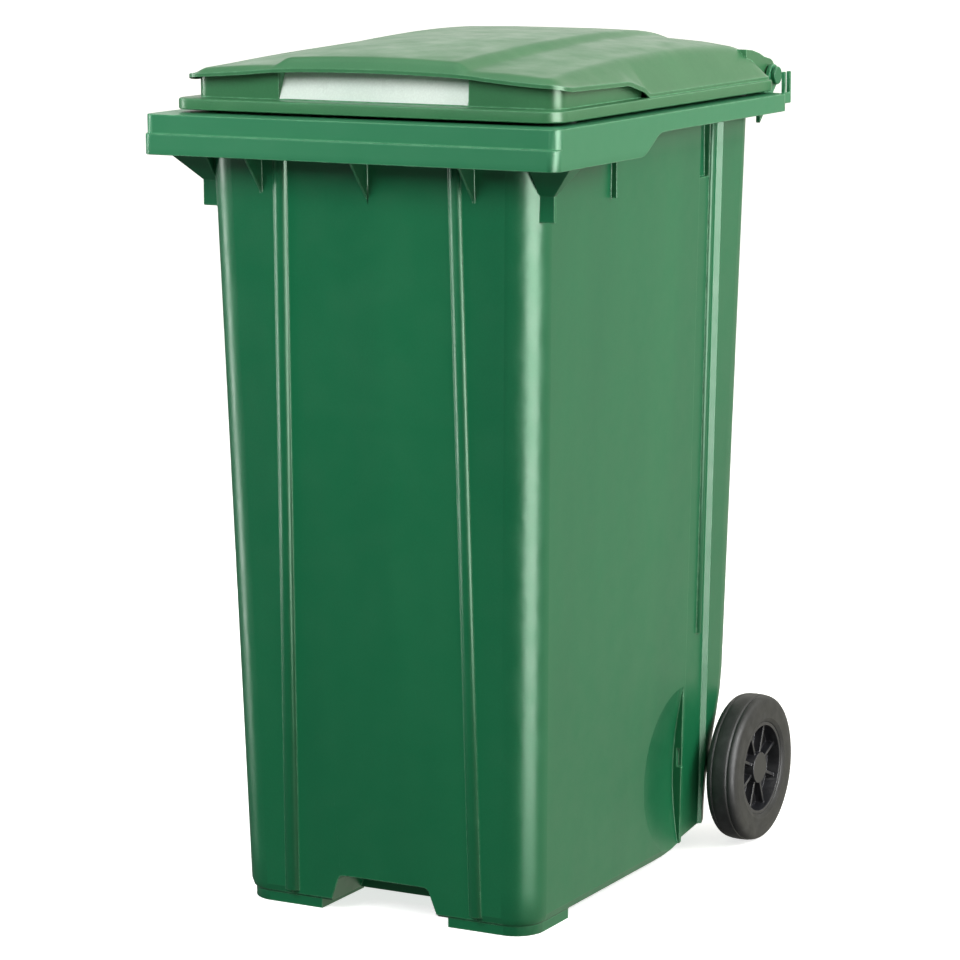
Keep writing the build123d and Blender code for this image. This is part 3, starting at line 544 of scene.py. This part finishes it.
def lid_arms(shape):
    """The two hinge arms, each running from the lid's back over its pin."""
    for side in (-1, 1):
        x0, x1 = side * (KNUCKLE_X - KNUCKLE_HALF), side * (KNUCKLE_X + KNUCKLE_HALF)
        top = [(640, RIM + 58), (660, RIM + 56), (682, RIM + 51), (698, RIM + 45.5)]
        turns = [math.radians(a) for a in range(78, -151, -12)]
        round_end = [(HINGE_Y + KNUCKLE_R * math.cos(a), HINGE_Z + KNUCKLE_R * math.sin(a)) for a in turns]
        shape.prism(top + round_end + [(680, RIM + 8), (640, RIM + 10)], x0, x1)


def build_lid():
    """The whole lid as one piece, which stands for the CAD lid."""
    shape = Shape()
    lid_skin(shape)
    lid_band(shape)
    lid_wall(shape)
    lid_arms(shape)
    lid = shown("lid_shell", shape.verts, shape.faces, (LID_GREEN, LID_PALE), "bin_lid", shape.tints)
    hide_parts("lid")
    rounded(lid, LID_ROUND)


build_lid()


# ---- camera, light and floor ----

EYE, TARGET, ROLL = (2.3218, -4.3071, 1.3786), (0.02825, -0.08362, 0.53484), math.radians(-0.23)
LENS, SENSOR, FAR = 141.8, 36.0, 100.0
SKY_TOWARDS = (0.75, 0.55, 0.35)
SKY_DARK, SKY_LIGHT = (0.35, (0.14, 0.14, 0.14, 1)), (0.80, (0.80, 0.78, 0.66, 1))
LAMP_AIM = (0, 0, 0.7)
# Name, place, size, watts, and whether it lights matt surfaces and shows in glossy ones
LAMPS = (("key", (2.4, 2.2, 3.0), (2.2, 2.2), 26.0, True, True),
         ("fill_top", (-0.6, -0.4, 3.6), (2.5, 2.5), 18.0, True, True),
         ("wash_front", (-1.0, -2.6, 2.4), (1.6, 1.6), 80.0, True, False),
         ("wash_right", (2.5, 0.5, 1.9), (1.4, 1.4), 46.0, True, False),
         ("glint_right", (1.90, -0.90, 0.95), (1.6, 2.9), 200.0, False, True),
         ("glint_left", (-2.1, -0.85, 0.9), (0.5, 2.4), 45.0, False, True),
         ("glint_lid", (-1.9, 3.6, 1.95), (3.5, 1.2), 11.0, False, True))
FLOOR_REACH = 30.0


def add_camera():
    camera = bpy.data.objects.new("camera", bpy.data.cameras.new("camera"))
    camera.data.lens, camera.data.sensor_width = LENS, SENSOR
    eye, target = Vector(EYE), Vector(TARGET)
    turn = (target - eye).to_track_quat("-Z", "Y").to_matrix().to_4x4()
    camera.matrix_world = Matrix.Translation(eye) @ turn @ Matrix.Rotation(ROLL, 4, "Z")
    camera.data.clip_end = FAR
    bpy.context.scene.collection.objects.link(camera)
    bpy.context.scene.camera = camera
    bpy.context.scene.view_settings.view_transform = "Standard"


def add_world():
    """A sky that is dark in front and lighter to the back right, and white where the camera sees it."""
    world = bpy.data.worlds.new("studio")
    bpy.context.scene.world = world
    world.use_nodes = True
    tree = world.node_tree
    sky = tree.nodes["Background"]
    coords = tree.nodes.new("ShaderNodeTexCoord")
    shape = tree.nodes.new("ShaderNodeVectorMath")
    shape.operation = "DOT_PRODUCT"
    shape.inputs[1].default_value = SKY_TOWARDS
    tree.links.new(coords.outputs["Generated"], shape.inputs[0])
    ramp = tree.nodes.new("ShaderNodeValToRGB")
    for stop, (position, colour) in zip(ramp.color_ramp.elements, (SKY_DARK, SKY_LIGHT)):
        stop.position, stop.color = position, colour
    half = tree.nodes.new("ShaderNodeMath")
    half.operation = "MULTIPLY_ADD"
    half.inputs[1].default_value = half.inputs[2].default_value = 0.5
    tree.links.new(shape.outputs["Value"], half.inputs[0])
    tree.links.new(half.outputs["Value"], ramp.inputs["Fac"])
    seen = tree.nodes.new("ShaderNodeLightPath").outputs["Is Camera Ray"]
    mix = tree.nodes.new("ShaderNodeMix")
    mix.data_type = "RGBA"
    mix.inputs[7].default_value = (1.0, 1.0, 1.0, 1.0)
    tree.links.new(seen, mix.inputs[0])
    tree.links.new(ramp.outputs["Color"], mix.inputs[6])
    tree.links.new(mix.outputs[2], sky.inputs["Color"])


def add_lamps():
    for name, spot, size, power, soft, shiny in LAMPS:
        data = bpy.data.lights.new(name, "AREA")
        data.shape, data.size, data.size_y, data.energy = "RECTANGLE", *size, power
        lamp = bpy.data.objects.new(name, data)
        turn = (Vector(LAMP_AIM) - Vector(spot)).to_track_quat("-Z", "Y").to_matrix().to_4x4()
        lamp.matrix_world = Matrix.Translation(spot) @ turn
        lamp.visible_camera, lamp.visible_diffuse, lamp.visible_glossy = False, soft, shiny
        bpy.context.scene.collection.objects.link(lamp)


def add_floor():
    """A pale floor that shines a little of its own light, so that it stays white to the horizon."""
    mesh = bpy.data.meshes.new("floor")
    far = FLOOR_REACH
    mesh.from_pydata([(-far, -far, 0), (far, -far, 0), (far, far, 0), (-far, far, 0)], [], [(0, 1, 2, 3)])
    floor = bpy.data.objects.new("floor", mesh)
    bpy.context.scene.collection.objects.link(floor)
    m = Maker("floor_pale")
    pale = m.ramp(m.noise(0.6, 2.0), (0.3, (0.86, 0.86, 0.86)), (0.7, (0.9, 0.9, 0.9)))
    m.link(pale, m.shader.inputs["Base Color"])
    m.shader.inputs["Roughness"].default_value = 0.9
    m.shader.inputs["Emission Color"].default_value = (1.0, 1.0, 1.0, 1.0)
    m.shader.inputs["Emission Strength"].default_value = 0.72
    m.shader.inputs["Specular IOR Level"].default_value = 0.0
    mesh.materials.append(m.mat)
    floor.visible_diffuse = floor.visible_glossy = False


add_camera()
add_world()
add_lamps()
add_floor()
